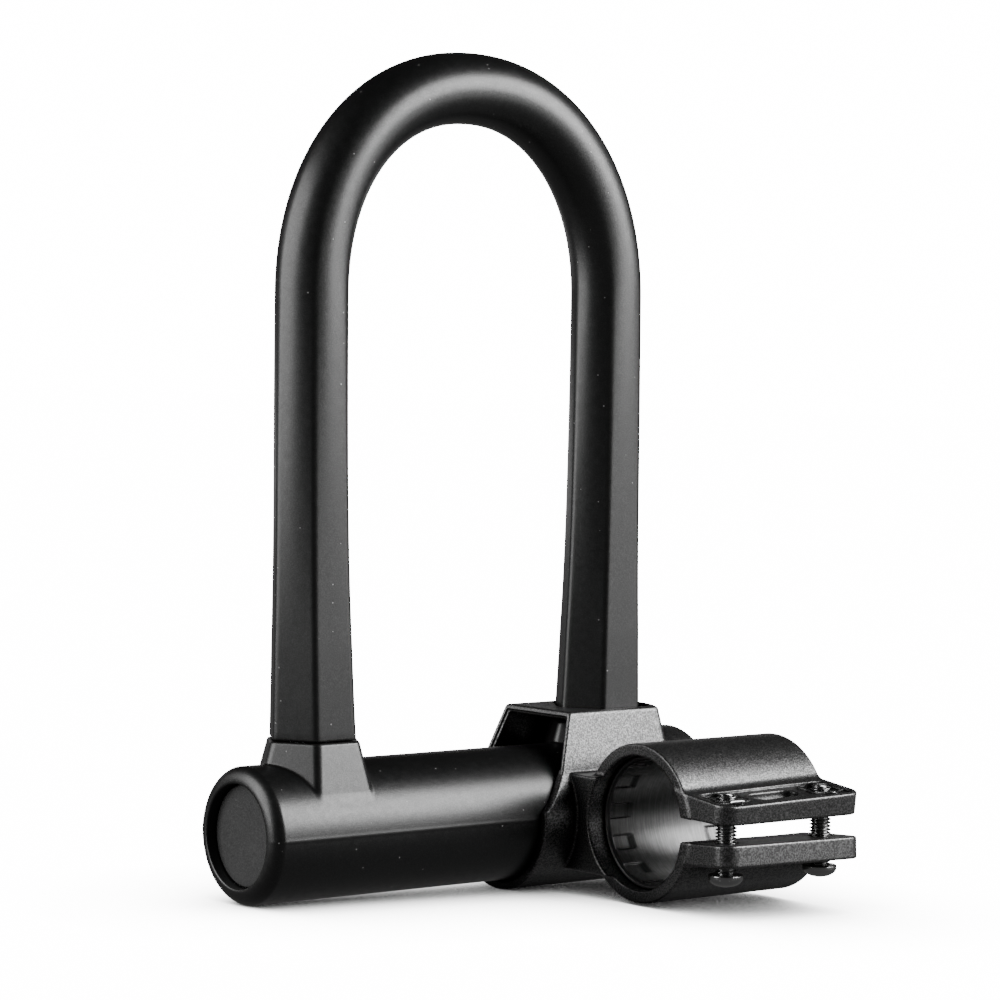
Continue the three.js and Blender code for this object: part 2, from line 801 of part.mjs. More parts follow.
function clampScrew() {
  const profile = [
    [headTop, screwR],
    [screwTop - 0.6, screwR],
    [screwTop, screwR - 0.6],
    [screwTop, 0],
  ];
  const dome = [];
  const steps = 5;
  for (let i = 0; i <= steps; i++) {
    const angle = (Math.PI / 2) * (i / steps);
    dome.push([headTop - 1 - (headHeight - 1) * Math.cos(angle), headR * Math.sin(angle)]);
  }
  const turnedScrew = turned([...dome, [headTop, headR], ...profile], 20);
  const screw = solid(toGeometry(turnedScrew).rotateY(-Math.PI / 2));
  const recessDeep = 2;
  const low = headTop - headHeight - 1;
  const arm = 2.6;
  const half = 0.55;
  return cut(
    screw,
    block(-arm, arm, -half, half, low, low + 1 + recessDeep),
    block(-half, half, -arm, arm, low, low + 1 + recessDeep));
}

function clampNut() {
  const nut = rod('z', nutAcross / 2 / Math.cos(Math.PI / 6), nutFloor, nutFloor + nutHeight, 0, 0, 6);
  return cut(nut, rod('z', nutBoreR, nutFloor - 1, nutFloor + nutHeight + 1, 0, 0, 20));
}

// ---------------------------------------------------------------------------------------------
// Assembly
// ---------------------------------------------------------------------------------------------

const crossbar = new THREE.Group();
crossbar.add(
  piece('crossbar_tube', crossbarTube(), finishes.hardenedSteel),
  piece('crossbar_sleeve', crossbarSleeve(), finishes.silicone),
  piece('left_end_plug', leftEndPlug(), finishes.discPlastic),
  piece('keyway_bezel', keywayBezel(), finishes.discPlastic),
  piece('left_leg_socket', legSocket(-1), finishes.zinc),
  piece('right_leg_socket', legSocket(1), finishes.zinc),
  piece('left_cam_bearing', camBearing(-1), finishes.zinc),
  piece('right_cam_bearing', camBearing(1), finishes.zinc),
  piece('cylinder_housing', cylinderHousing(), finishes.zinc),
  piece('left_socket_pin', rollPin(), finishes.hardenedSteel, -socketPinX),
  piece('right_socket_pin', rollPin(), finishes.hardenedSteel, socketPinX),
  piece('housing_pin', rollPin(), finishes.hardenedSteel, housingPinX),
  piece('end_plug_pin', rollPin(), finishes.hardenedSteel, endPlugPinX),
  piece('dust_cover_rivet', flapRivet(), finishes.hardenedSteel, 0, 0, flapPivotZ),
);

const shackle = new THREE.Group();
shackle.add(
  piece('shackle_bar', shackleBar(), finishes.hardenedSteel),
  piece('shackle_cover', shackleCover(), finishes.silicone),
);

const lockingTrain = new THREE.Group();
lockingTrain.add(
  piece('cylinder_plug', cylinderPlug(), finishes.brass),
  piece('sidebar', sidebar(), finishes.brass, firstDiscX),
  piece('drive_spindle', driveSpindle(), finishes.hardenedSteel),
  piece('left_bolt', lockBolt(-1), finishes.hardenedSteel),
  piece('right_bolt', lockBolt(1), finishes.hardenedSteel),
  piece('dust_cover', dustCover(), finishes.discPlastic),
);
for (let i = 0; i < discCount; i++) {
  const name = `detainer_disc_${i + 1}`;
  lockingTrain.add(piece(name, detainerDisc(), finishes.brass, firstDiscX + i * discPitch));
}

const bracket = new THREE.Group();
bracket.add(
  piece('bracket_body', bracketBody(), finishes.nylon),
  piece('clamp_liner', clampLiner(), finishes.linerPlastic, 0, ringY, ringZ),
);
for (const [side, x] of [['left', screwLeftX], ['right', screwRightX]]) {
  bracket.add(
    piece(`${side}_clamp_nut`, clampNut(), finishes.blackSteel, x, screwY),
    piece(`${side}_clamp_screw`, clampScrew(), finishes.blackSteel, x, screwY),
  );
}

const lock = new THREE.Group();
lock.position.x = plateX;
lock.add(crossbar, shackle, lockingTrain, bracket);

export default lock;
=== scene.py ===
"""A bicycle U-lock held in its frame bracket, on a pale floor.

Shapes are described in millimetres, with X and Z measured from the middle of the crossbar's axis as in the
CAD source, and become metres in the frame's own axes when each mesh is made.
"""

import math

import bpy
import numpy as np
from mathutils import Matrix, Vector


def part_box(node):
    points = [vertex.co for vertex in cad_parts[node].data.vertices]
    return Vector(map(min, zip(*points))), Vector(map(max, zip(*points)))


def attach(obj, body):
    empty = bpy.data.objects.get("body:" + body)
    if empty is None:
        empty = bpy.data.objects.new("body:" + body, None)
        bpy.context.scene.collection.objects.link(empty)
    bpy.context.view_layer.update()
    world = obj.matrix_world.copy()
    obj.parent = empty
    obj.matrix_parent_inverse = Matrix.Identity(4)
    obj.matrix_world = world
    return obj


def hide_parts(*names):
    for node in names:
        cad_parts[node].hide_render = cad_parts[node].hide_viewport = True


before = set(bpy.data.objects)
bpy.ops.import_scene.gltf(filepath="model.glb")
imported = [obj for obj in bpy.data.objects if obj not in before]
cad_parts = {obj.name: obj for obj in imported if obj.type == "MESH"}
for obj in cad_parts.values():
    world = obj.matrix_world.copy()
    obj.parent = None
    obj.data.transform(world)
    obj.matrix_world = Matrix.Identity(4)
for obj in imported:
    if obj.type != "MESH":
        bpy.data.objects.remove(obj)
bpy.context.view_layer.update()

MM = 0.001
SLEEVE_LOW, SLEEVE_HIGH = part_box("crossbar_sleeve")
MIDDLE = Vector(((SLEEVE_LOW.x + SLEEVE_HIGH.x) / 2, 0, 0))


def node_box(node):
    """A CAD node's box in millimetres from the crossbar's middle."""
    low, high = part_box(node)
    return (low - MIDDLE) / MM, (high - MIDDLE) / MM


def node_middle(node):
    low, high = node_box(node)
    return (low + high) / 2


# ------------------------------------------------------------------------------------------------
# Distance fields: each takes x, y and z arrays and is negative inside
# ------------------------------------------------------------------------------------------------


def rounded_and(a, b, radius):
    """The intersection of two fields, with its outer edge rounded."""
    u = np.maximum(a + radius, 0)
    v = np.maximum(b + radius, 0)
    return np.minimum(np.maximum(a, b), -radius) + np.sqrt(u * u + v * v)


def rounded_or(a, b, radius):
    """The union of two fields, with a fillet where they meet."""
    u = np.maximum(radius - a, 0)
    v = np.maximum(radius - b, 0)
    return np.maximum(np.minimum(a, b), radius) - np.sqrt(u * u + v * v)


def minus(a, b, radius):
    """The first field cut by the second, with the cut's edge rounded."""
    return rounded_and(a, -b, radius)


def between(value, low, high):
    """An endless slab between two planes."""
    return np.maximum(low - value, value - high)


def tube(p, q, p0, q0, radius):
    """An endless cylinder whose centre line is at (p0, q0) in the two axes given."""
    return np.hypot(p - p0, q - q0) - radius


def hexagon(p, q, apothem, turn=0.0):
    """An endless hexagonal bar; turn is the direction of one face's normal."""
    sides = [p * math.cos(turn + k * math.pi / 3) + q * math.sin(turn + k * math.pi / 3) for k in range(6)]
    return np.maximum.reduce(sides) - apothem


def rounded_hexagon(p, q, apothem, radius, turn=0.0):
    """hexagon() with its corners rounded to the radius."""
    sector = math.pi / 3
    within = np.mod(np.arctan2(q, p) - turn + sector / 2, sector) - sector / 2
    reach = np.hypot(p, q)
    out = reach * np.cos(within) - (apothem - radius)
    along = np.abs(reach * np.sin(within)) - (apothem - radius) * math.tan(sector / 2)
    return np.where((out > 0) & (along > 0), np.hypot(out, along), out) - radius


# ------------------------------------------------------------------------------------------------
# Meshes
# ------------------------------------------------------------------------------------------------


def mesh_object(name, points, faces):
    """An object from points in millimetres, moved into the frame."""
    mesh = bpy.data.meshes.new(name)
    placed = np.asarray(points, float) * MM + np.array(MIDDLE)
    mesh.from_pydata(placed.tolist(), [], [tuple(f) for f in faces])
    mesh.validate()
    mesh.shade_smooth()
    obj = bpy.data.objects.new(name, mesh)
    bpy.context.scene.collection.objects.link(obj)
    return obj


def gradient(field, points, step=0.02):
    """The field's slope at each point, by central differences."""
    axes = np.eye(3) * step
    return np.stack(
        [(field(*(points + a).T) - field(*(points - a).T)) / (2 * step) for a in axes], axis=1)


CORNERS = [(i, j, k) for i in (0, 1) for j in (0, 1) for k in (0, 1)]
EDGES = [(a, b) for a in range(8) for b in range(a + 1, 8)
         if sum(abs(u - v) for u, v in zip(CORNERS[a], CORNERS[b])) == 1]


MARGIN_CELLS = 1.5                # room left round the box that a skin is made in
RELAX_PASSES = (0.5, 0.5, 0.0)    # how far each pass draws a point towards its neighbours' mean
PULLS = 2                         # moves onto the surface after each pass
LEAST_SLOPE2 = 0.25               # keeps those moves short where a field is flat


def spacing(size):
    return size


def skin(name, field, low, high, cell):
    """The surface where a field is zero, as a net of quads with its points pulled onto the surface."""
    low = np.array(low, float) - MARGIN_CELLS * cell
    counts = np.ceil((np.array(high, float) + MARGIN_CELLS * cell - low) / cell).astype(int) + 1
    xs, ys, zs = (low[a] + cell * np.arange(counts[a]) for a in range(3))
    grid_y, grid_z = np.meshgrid(ys, zs, indexing="ij")
    values = np.empty(counts, np.float32)
    for i, x in enumerate(xs):
        values[i] = field(np.full_like(grid_y, x), grid_y, grid_z)
    inside = values < 0

    cells = tuple(c - 1 for c in counts)
    held = np.zeros(cells, np.int8)
    for i, j, k in CORNERS:
        held += inside[i:i + cells[0], j:j + cells[1], k:k + cells[2]]
    where = np.argwhere((held > 0) & (held < 8))
    index = np.full(cells, -1, np.int64)
    index[tuple(where.T)] = np.arange(len(where))

    at = np.stack([values[tuple((where + c).T)] for c in CORNERS], axis=1)
    total = np.zeros((len(where), 3))
    crossings = np.zeros(len(where))
    for a, b in EDGES:
        crossed = (at[:, a] < 0) != (at[:, b] < 0)
        share = np.where(crossed, at[:, a] / np.where(crossed, at[:, a] - at[:, b], 1), 0)
        start, end = np.array(CORNERS[a], float), np.array(CORNERS[b], float)
        total += crossed[:, None] * (start + share[:, None] * (end - start))
        crossings += crossed
    points = low + cell * (where + total / crossings[:, None])

    faces = []
    for axis in range(3):
        first = np.take(inside, range(counts[axis] - 1), axis)
        second = np.take(inside, range(1, counts[axis]), axis)
        change = np.argwhere(first != second)
        u, v = (axis + 1) % 3, (axis + 2) % 3
        change = change[(change[:, u] > 0) & (change[:, v] > 0)
                        & (change[:, u] < cells[u]) & (change[:, v] < cells[v])]
        step_u, step_v = np.eye(3, dtype=int)[u], np.eye(3, dtype=int)[v]
        ring = [change - step_u - step_v, change - step_v, change, change - step_u]
        quads = np.stack([index[tuple(c.T)] for c in ring], axis=1)
        flip = ~first[tuple(change.T)]
        quads[flip] = quads[flip][:, ::-1]
        faces.append(quads)
    faces = np.concatenate(faces)
    faces = faces[(faces >= 0).all(axis=1)]

    pairs = np.concatenate([faces[:, [0, 1]], faces[:, [1, 2]], faces[:, [2, 3]], faces[:, [3, 0]]])
    pairs = np.concatenate([pairs, pairs[:, ::-1]])
    degree = np.maximum(np.bincount(pairs[:, 0], minlength=len(points)), 1)
    for relax in RELAX_PASSES:
        if relax:
            sums = [np.bincount(pairs[:, 0], points[pairs[:, 1], a], len(points)) for a in range(3)]
            points = points + relax * (np.stack(sums, 1) / degree[:, None] - points)
        for _ in range(PULLS):
            slope = gradient(field, points)
            slope2 = np.maximum((slope * slope).sum(axis=1), LEAST_SLOPE2)
            move = field(*points.T)[:, None] * slope / slope2[:, None]
            points = points - np.clip(move, -cell / 2, cell / 2)
    return mesh_object(name, points, faces.tolist())


def net(name, rows, closed_rows=False):
    """A grid of points, each row a closed loop; closed_rows also joins the last row to the first."""
    rows = np.asarray(rows, float)
    count, width = rows.shape[:2]
    faces = []
    for i in range(count if closed_rows else count - 1):
        j = (i + 1) % count
        for a in range(width):
            b = (a + 1) % width
            faces.append((i * width + a, i * width + b, j * width + b, j * width + a))
    points = rows.reshape(-1, 3)
    if not closed_rows:
        faces.append(tuple(range(width))[::-1])
        faces.append(tuple(range((count - 1) * width, count * width)))
    return mesh_object(name, points, faces)


CAD_SHARP = math.radians(35)
CAD_BEVEL = 0.15


def smooth_cad(node):
    """Shades a carried-over CAD node, with a small bevel on its sharp edges."""
    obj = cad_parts[node]
    obj.data.shade_smooth()
    obj.data.set_sharp_from_angle(angle=CAD_SHARP)
    modifier = obj.modifiers.new("edge", "BEVEL")
    modifier.width = CAD_BEVEL * MM
    modifier.segments = 2
    modifier.limit_method = "ANGLE"
    modifier.angle_limit = CAD_SHARP
    modifier.harden_normals = True
    return obj


# ------------------------------------------------------------------------------------------------
# Finishes
# ------------------------------------------------------------------------------------------------


class Nodes:
    """A short way to write a node tree."""

    def __init__(self, tree):
        self.tree = tree

    def add(self, kind, settings=None, **inputs):
        node = self.tree.nodes.new(kind)
        for key, value in (settings or {}).items():
            setattr(node, key, value)
        for key, value in inputs.items():
            self.put(node.inputs[key.replace("_", " ")], value)
        return node

    def put(self, socket, value):
        if isinstance(value, bpy.types.NodeSocket):
            self.tree.links.new(value, socket)
        else:
            socket.default_value = value

    def math(self, operation, a, b=0.0, clamp=False):
        node = self.tree.nodes.new("ShaderNodeMath")
        node.operation, node.use_clamp = operation, clamp
        self.put(node.inputs[0], a)
        self.put(node.inputs[1], b)
        return node.outputs[0]

    def mix(self, factor, a, b):
        node = self.tree.nodes.new("ShaderNodeMix")
        node.data_type = "RGBA"
        self.put(node.inputs["Factor"], factor)
        self.put(node.inputs["A"], a)
        self.put(node.inputs["B"], b)
        return node.outputs["Result"]

    def ramp(self, value, low, high, to_low=0.0, to_high=1.0):
        node = self.tree.nodes.new("ShaderNodeMapRange")
        self.put(node.inputs["Value"], value)
        for key, number in (("From Min", low), ("From Max", high), ("To Min", to_low), ("To Max", to_high)):
            node.inputs[key].default_value = number
        return node.outputs["Result"]

    def noise(self, place, scale, detail):
        node = self.add("ShaderNodeTexNoise", Vector=place, Scale=scale, Detail=detail)
        return node.outputs["Fac"]


def grey(value):
    return (value, value, value, 1)


# Patterns that all finishes share. Scales are per millimetre, and pairs are the ends of a ramp.
BROAD_SCALE, BLOTCH_SCALE, SPECK_SCALE = 0.06, 0.5, 0.26
BRUSHED_SCALE = 0.07          # draws a brushed surface's grain out along Y and Z
BROAD_BAND, BLOTCH_BAND = (0.3, 0.7), (0.3, 0.7)
DARKER, LIGHTER = 0.85, 1.15
SPECK_EDGE, SPECK_CHOICE = (0.045, 0.075), (0.5, 0.53)
FAINT_SPECK, FAINT_SPECK_SHARE = 0.02, 0.3
WORN_EDGE, WORN_PATCH = (0.52, 0.6), (0.45, 0.6)
WORN_GAIN, WORN_LIFT, WORN_POLISH = 2.2, 0.01, -0.08
ROUGHNESS_SPREAD = 0.06
SWELL = 0.01
GLITTER_BAND = (0.42, 0.68)
CREVICE_SHADE_POWER = 3.0


def tinted(colour, gain, lift=0.0):
    return tuple(min(1.0, gain * c + lift) for c in colour[:3]) + (1,)


def finish(name, colour, roughness, grain, grain_size, speckle=0.0, wear=0.3, metallic=0.0,
           specular=0.5, glitter=0.1, brushed=False, crevice_shade=0.0):
    """A moulded or metal finish. Sizes are in millimetres; speckle is how light the dust specks are,
    and the reach of the painted crevice shade is how far apart surfaces may stand and still dull each
    other's sheen."""
    material = bpy.data.materials.new(name)
    material.use_nodes = True
    nodes = Nodes(material.node_tree)
    shader = material.node_tree.nodes["Principled BSDF"]
    place = nodes.add("ShaderNodeTexCoord").outputs["Object"]
    across = BRUSHED_SCALE if brushed else 1.0
    stretch = (1 / MM, across / MM, across / MM)
    scaled = nodes.add("ShaderNodeMapping", Vector=place, Scale=stretch).outputs["Vector"]
    even = nodes.add("ShaderNodeMapping", Vector=place, Scale=(1 / MM,) * 3).outputs["Vector"]

    broad = nodes.noise(even, BROAD_SCALE, 3.0)
    blotch = nodes.noise(even, BLOTCH_SCALE, 4.0)
    fine = nodes.noise(scaled, 1 / grain_size, 3.0)
    shade = nodes.mix(nodes.ramp(broad, *BROAD_BAND), tinted(colour, DARKER), tinted(colour, LIGHTER))

    cells = nodes.add("ShaderNodeTexVoronoi", Vector=even, Scale=SPECK_SCALE)
    chosen = nodes.add("ShaderNodeSeparateColor", Color=cells.outputs["Color"]).outputs["Red"]
    small = nodes.ramp(cells.outputs["Distance"], *SPECK_EDGE, 1.0, 0.0)
    speck = nodes.math("MULTIPLY", small, nodes.ramp(chosen, *SPECK_CHOICE))
    speck = nodes.math("MULTIPLY", speck, 1.0 if speckle else FAINT_SPECK_SHARE)
    shade = nodes.mix(speck, shade, grey(max(speckle, FAINT_SPECK)))

    point = nodes.add("ShaderNodeNewGeometry").outputs["Pointiness"]
    worn = nodes.math("MULTIPLY", nodes.ramp(point, *WORN_EDGE), nodes.ramp(blotch, *WORN_PATCH))
    worn = nodes.math("MULTIPLY", worn, wear)
    shade = nodes.mix(worn, shade, tinted(colour, WORN_GAIN, WORN_LIFT))

    spread = ROUGHNESS_SPREAD / 2
    rough = nodes.ramp(blotch, *BLOTCH_BAND, roughness - spread, roughness + spread)
    rough = nodes.math("ADD", rough, nodes.math("MULTIPLY", worn, WORN_POLISH), clamp=True)
    bump = nodes.add("ShaderNodeBump", Height=fine, Strength=1.0, Distance=grain * MM)
    swell = nodes.add("ShaderNodeBump", Height=blotch, Strength=1.0, Distance=SWELL * MM,
                      Normal=bump.outputs["Normal"])
    sheen = nodes.ramp(fine, *GLITTER_BAND, specular * (1 - glitter), specular * (1 + 2 * glitter))
    # Painted shade: ambient occlusion dulls the sheen in corners, creases and recesses.
    if crevice_shade:
        free = nodes.add("ShaderNodeAmbientOcclusion", Distance=crevice_shade * MM).outputs["AO"]
        sheen = nodes.math("MULTIPLY", sheen, nodes.math("POWER", free, CREVICE_SHADE_POWER))
    for key, value in (("Base Color", shade), ("Roughness", rough), ("Normal", swell.outputs["Normal"]),
                       ("Metallic", metallic), ("Specular IOR Level", sheen)):
        nodes.put(shader.inputs[key], value)
    return material


LOOKS = {
    "silicone": dict(colour=grey(0.003), roughness=0.35, grain=0.012, grain_size=0.35, speckle=0.2,
                     wear=0.1),
    # The nylon's sheen carries painted shade in its crevices.
    "nylon": dict(colour=grey(0.004), roughness=0.39, grain=0.055, grain_size=0.5, speckle=0.08, wear=0.4,
                  specular=1.1, glitter=0.45, crevice_shade=7.0),
    "disc_plastic": dict(colour=grey(0.016), roughness=0.6, grain=0.03, grain_size=0.3, speckle=0.12,
                         wear=0.2, glitter=0.3),
    "liner_plastic": dict(colour=grey(0.012), roughness=0.36, grain=0.003, grain_size=0.5, specular=0.8,
                          glitter=0.12, brushed=True),
    "black_steel": dict(colour=grey(0.3), roughness=0.24, grain=0.003, grain_size=0.2, wear=0.6,
                        metallic=1.0),
    "hardened_steel": dict(colour=(0.42, 0.43, 0.45, 1), roughness=0.32, grain=0.004, grain_size=0.2,
                           metallic=1.0),
    "zinc": dict(colour=(0.5, 0.51, 0.53, 1), roughness=0.45, grain=0.01, grain_size=0.5, metallic=1.0),
    "brass": dict(colour=(0.62, 0.47, 0.2, 1), roughness=0.33, grain=0.004, grain_size=0.3, metallic=1.0),
}
MATERIALS = {slot: finish(slot, **look) for slot, look in LOOKS.items()}


def dress(obj, slot, body=None, nodes=()):
    """Gives an object its material, and, for a new piece, its body and the CAD nodes it stands for."""
    obj.data.materials.clear()
    obj.data.materials.append(MATERIALS[slot])
    if body:
        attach(obj, body)
        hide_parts(*nodes)
    return obj


# ------------------------------------------------------------------------------------------------
# Crossbar: silicone sleeve with its two collars, and the end disc
# ------------------------------------------------------------------------------------------------

BAR_HALF = (SLEEVE_HIGH.x - SLEEVE_LOW.x) / 2 / MM
SLEEVE_R = -SLEEVE_LOW.z / MM
COLLAR_TOP = SLEEVE_HIGH.z / MM
SLEEVE_BORE_R = node_box("crossbar_tube")[1].z + 0.3
SLEEVE_END_FILLET = 4.6
END_OPENING_R = node_box("left_end_plug")[1].y + 0.3
END_RECESS = 3.2
PLATE_ROOM = 3.0
COLLAR_HALF = 54.0
COLLAR_TOP_R = 15.1
COLLAR_FLARE = 0.29
COLLAR_CORNER_R = 3.0
COLLAR_ROOT_R = 0.6
LEG_HOLE_R = 7.6
COLLAR_EDGE_R, HOLE_EDGE_R, ROOM_EDGE_R = 0.6, 0.4, 0.1
OVERLAP = 1.0                 # how far a cut runs into the next, or a box past what it holds
SLEEVE_CELL = 0.42
RIM_EDGE = 0.16
PARTING_Z = 0.4
PARTING_RISE = 0.26
PARTING_REACH = 4.0
BEAD_RISE = 0.09
BEAD_HALF = 0.4


def sleeve_field(x, y, z):
    along = np.abs(x)
    radius = np.hypot(y, z)
    off = np.abs(z - PARTING_Z)
    seam = PARTING_RISE * (np.exp(-off / PARTING_REACH) - 0.5) + BEAD_RISE * np.exp(-(off / BEAD_HALF) ** 2)
    side = radius - SLEEVE_R - seam
    bar = np.maximum(rounded_and(side - RIM_EDGE, along - BAR_HALF, SLEEVE_END_FILLET), side)
    shift = along - COLLAR_HALF
    apothem = (COLLAR_TOP_R + COLLAR_FLARE * (COLLAR_TOP - z)) * math.cos(math.pi / 6)
    collar = rounded_hexagon(shift, y, apothem, COLLAR_CORNER_R, math.pi / 6)
    collar = collar * math.cos(math.atan(COLLAR_FLARE))
    collar = rounded_and(collar, np.maximum(z - COLLAR_TOP, -z), COLLAR_EDGE_R)
    whole = rounded_or(bar, collar, COLLAR_ROOT_R)
    room = np.maximum(radius - SLEEVE_BORE_R, along - BAR_HALF + END_RECESS + PLATE_ROOM)
    opening = np.maximum(radius - END_OPENING_R, BAR_HALF - END_RECESS - PLATE_ROOM - OVERLAP - along)
    whole = minus(whole, room, ROOM_EDGE_R)
    whole = minus(whole, opening, HOLE_EDGE_R)
    return minus(whole, np.maximum(tube(shift, y, 0, 0, LEG_HOLE_R), -z), HOLE_EDGE_R)


sleeve = skin(
    "sleeve_skin", sleeve_field, (-BAR_HALF, -SLEEVE_R - OVERLAP, -SLEEVE_R - OVERLAP),
    (BAR_HALF, SLEEVE_R + OVERLAP, COLLAR_TOP), spacing(SLEEVE_CELL))
dress(sleeve, "silicone", "crossbar", ["crossbar_sleeve"])


def lathe(name, profile, columns=96):
    """A solid of revolution about the crossbar's axis, from pairs of x and radius."""
    angles = 2 * math.pi * np.arange(columns) / columns
    rows = [[(x, r * math.cos(a), r * math.sin(a)) for a in angles] for x, r in profile]
    return net(name, rows)


def arc(x, r, radius, start, end, steps=6):
    """Points of a circular arc in a lathe profile, angles in degrees from the +X direction."""
    turns = [math.radians(start + (end - start) * i / steps) for i in range(steps + 1)]
    return [(x + radius * math.cos(t), r + radius * math.sin(t)) for t in turns]


plug_low, plug_high = node_box("left_end_plug")
DISC_EDGE_R = 0.5
DISC_THICK, DISC_SPIGOT_R = 2.7, 13.2
DISC_CENTRE_R = 0.01          # closes the ends of the profile
DISC_DISH = ((0.25, DISC_CENTRE_R), (0.2, 6.0), (0.05, plug_high.y - 2.2))
end_disc = lathe("end_disc", [
    *((plug_low.x + sunk, r) for sunk, r in DISC_DISH),
    *arc(plug_low.x + DISC_EDGE_R, plug_high.y - DISC_EDGE_R, DISC_EDGE_R, 180, 90),
    (plug_low.x + DISC_THICK, plug_high.y), (plug_low.x + DISC_THICK, DISC_SPIGOT_R),
    (plug_high.x, DISC_SPIGOT_R), (plug_high.x, DISC_CENTRE_R)])
dress(end_disc, "disc_plastic", "crossbar", ["left_end_plug"])

# ------------------------------------------------------------------------------------------------
# Shackle cover: round on the bend, hexagonal on the legs
# ------------------------------------------------------------------------------------------------

COVER_R = 10.77
COVER_FOOT = node_box("shackle_cover")[0].z
COVER_BEND_Z = 158.0
COVER_BEND_HALF = 56.0
COVER_BEND_RISE = 62.6
COVER_BEND_POWER = 2.12
COVER_BOW = 1.04e-4
HEX_APOTHEM = 11.0
HEX_FLARE = 2.5e-4
HEX_FLARE_Z = 100.0
HEX_START_Z = 205.0
HEX_FULL_Z = 55.0
CORNER_R = 2.0
BORE_R = 7.7
LEG_HALF = 54.6
STEEL_BEND_Z = 166.0
LEG_SHARE = 0.25              # part of the way round that each leg takes up
COVER_COLUMNS, OUTSIDE_RINGS, BORE_RINGS, FOOT_RINGS = 144, 260, 40, 5
FOOT_EDGE_R = 0.7


def cover_section(z, angle):
    """Radius of the cover's section at a height: a hexagon on the leg, fading into the bend's circle."""
    share = min(max((HEX_START_Z - z) / (HEX_START_Z - HEX_FULL_Z), 0.0), 1.0)
    apothem = HEX_APOTHEM + HEX_FLARE * max(HEX_FLARE_Z - z, 0.0) ** 2
    sector = math.pi / 3
    within = abs(angle % sector - sector / 2)
    inner = apothem - CORNER_R
    flat = apothem / math.cos(within)
    if math.tan(within) * apothem > inner * math.tan(sector / 2):
        tip = inner / math.cos(sector / 2)
        off = sector / 2 - within
        flat = tip * math.cos(off) + math.sqrt(max(CORNER_R ** 2 - (tip * math.sin(off)) ** 2, 0.0))
    return COVER_R + (flat - COVER_R) * share


def cover_axis(t):
    """Centre line and outward direction of the cover, t from 0 at the left foot to 1 at the right."""
    side = -1 if t < 0.5 else 1
    along = min(t, 1 - t)
    if along < LEG_SHARE:
        z = COVER_FOOT + (COVER_BEND_Z - COVER_FOOT) * along / LEG_SHARE
        return side * (COVER_BEND_HALF - COVER_BOW * (COVER_BEND_Z - z) ** 2), z, side, 0.0
    angle = math.pi * (1 - (t - LEG_SHARE) / (1 - 2 * LEG_SHARE))
    c, s = math.cos(angle), max(math.sin(angle), 0.0)
    x = COVER_BEND_HALF * math.copysign(abs(c) ** (2 / COVER_BEND_POWER), c)
    rise = COVER_BEND_RISE * s ** (2 / COVER_BEND_POWER)
    nx = math.copysign(abs(x / COVER_BEND_HALF) ** (COVER_BEND_POWER - 1) / COVER_BEND_HALF, x)
    nz = (rise / COVER_BEND_RISE) ** (COVER_BEND_POWER - 1) / COVER_BEND_RISE
    length = math.hypot(nx, nz)
    return x, COVER_BEND_Z + rise, nx / length, nz / length


def steel_axis(t):
    """The same for the steel bar inside, whose bend is a half circle."""
    side = -1 if t < 0.5 else 1
    along = min(t, 1 - t)
    if along < LEG_SHARE:
        return side * LEG_HALF, COVER_FOOT + (STEEL_BEND_Z - COVER_FOOT) * along / LEG_SHARE, side, 0.0
    angle = math.pi * (1 - (t - LEG_SHARE) / (1 - 2 * LEG_SHARE))
    c, s = math.cos(angle), math.sin(angle)
    return LEG_HALF * c, STEEL_BEND_Z + LEG_HALF * s, c, s


def cover_rows():
    """Rings up the outside from foot to foot, then back through the bore."""
    angles = 2 * math.pi * np.arange(COVER_COLUMNS) / COVER_COLUMNS

    def ring(axis, section, shrink=0.0):
        x, z, nx, nz = axis
        row = []
        for a in angles:
            r = section(z, a) - shrink
            row.append((x + r * math.cos(a) * nx, r * math.sin(a), z + r * math.cos(a) * nz))
        return row

    def foot_edge(t):
        axis = cover_axis(t)
        rows = []
        for i in range(FOOT_RINGS):
            turn = math.pi / 2 * i / FOOT_RINGS
            z = axis[1] + FOOT_EDGE_R * (1 - math.cos(turn))
            rounded = ring(axis, cover_section, FOOT_EDGE_R * (1 - math.sin(turn)))
            rows.append([(point[0], point[1], z) for point in rounded])
        return rows

    rows = foot_edge(0.0)
    foot_lift = FOOT_EDGE_R / (COVER_BEND_Z - COVER_FOOT) * LEG_SHARE
    for i in range(OUTSIDE_RINGS + 1):
        rows.append(ring(cover_axis(foot_lift + (1 - 2 * foot_lift) * i / OUTSIDE_RINGS), cover_section))
    rows += foot_edge(1.0)[::-1]
    for i in range(BORE_RINGS + 1):
        rows.append(ring(steel_axis(1 - i / BORE_RINGS), lambda z, a: BORE_R))
    return rows


cover = net("cover_skin", cover_rows(), closed_rows=True)
dress(cover, "silicone", "shackle", ["shackle_cover"])

# ------------------------------------------------------------------------------------------------
# Bracket: saddle, hood, clamp ring and ears in one moulding
# ------------------------------------------------------------------------------------------------

bracket_low, bracket_high = node_box("bracket_body")
SADDLE_BORE_R = 20.9
SADDLE_R = 23.3
SADDLE_LEFT, SADDLE_RIGHT = bracket_low.x, 84.5
HOOD_TOP = bracket_high.z
HOOD_HALF = 15.05
HOOD_BACK_EXTRA = 1.6
HOOD_SLOPE = 0.24
HOOD_CORNER, HOOD_CORNER_LEAN = 66.7, 0.1
HOOD_END, HOOD_END_LEAN = 71.5, 0.3
WALL = 2.4
CREASE_Z = 13.4
LEG_OPENING_X, LEG_OPENING_APOTHEM = 54.2, 12.65
MOUTH_REBATE_WIDE, MOUTH_REBATE_DEEP = 1.5, 0.8
RING_Y, RING_Z = -48.5, 1.1
RING_R, RING_BORE_R = 23.93, 20.2
RING_LEFT, RING_RIGHT = 30.5, bracket_high.x
EAR_FRONT = bracket_low.y
EAR_CORNER_R = 5.5
EAR_DATUM_Y = -70.0
